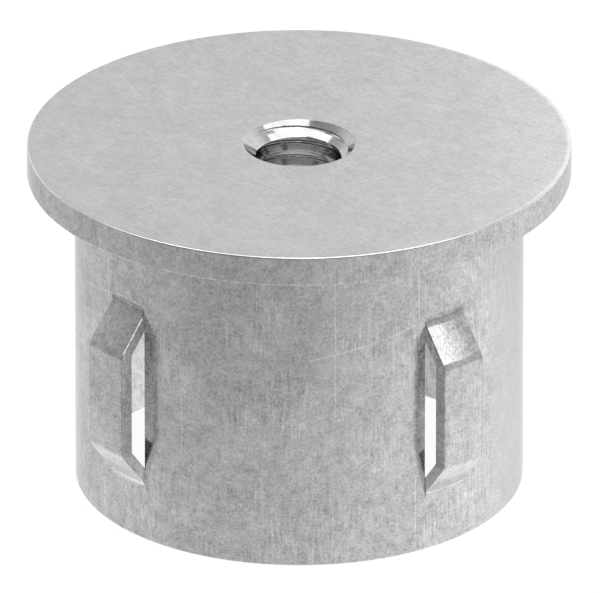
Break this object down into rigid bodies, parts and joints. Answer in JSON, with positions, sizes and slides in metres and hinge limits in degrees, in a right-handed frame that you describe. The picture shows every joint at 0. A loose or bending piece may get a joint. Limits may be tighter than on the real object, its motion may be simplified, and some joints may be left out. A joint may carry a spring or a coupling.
{
  "type": "threaded tube insert",
  "caption": "Round end insert for a tube: flat flanged head with a central threaded hole, on a sheet sleeve with pushed-out grip ribs.",
  "frame": {"origin": "centre of the plane that the sleeve's open end stands on", "axes": "+Z along the insert's axis, from the open end to the flanged head; +X and +Y through two neighbouring ribs"},
  "size_m": [0.0424, 0.0424, 0.0281],
  "materials": {
    "turned_steel": "satin zinc-plated steel with fine turning and handling marks",
    "sheet_steel": "mottled zinc-plated sheet steel with fine drawing lines"
  },
  "bodies": {
    "root": {"threaded_head": "turned_steel", "ribbed_sleeve": "sheet_steel"}
  },
  "joints": []
}
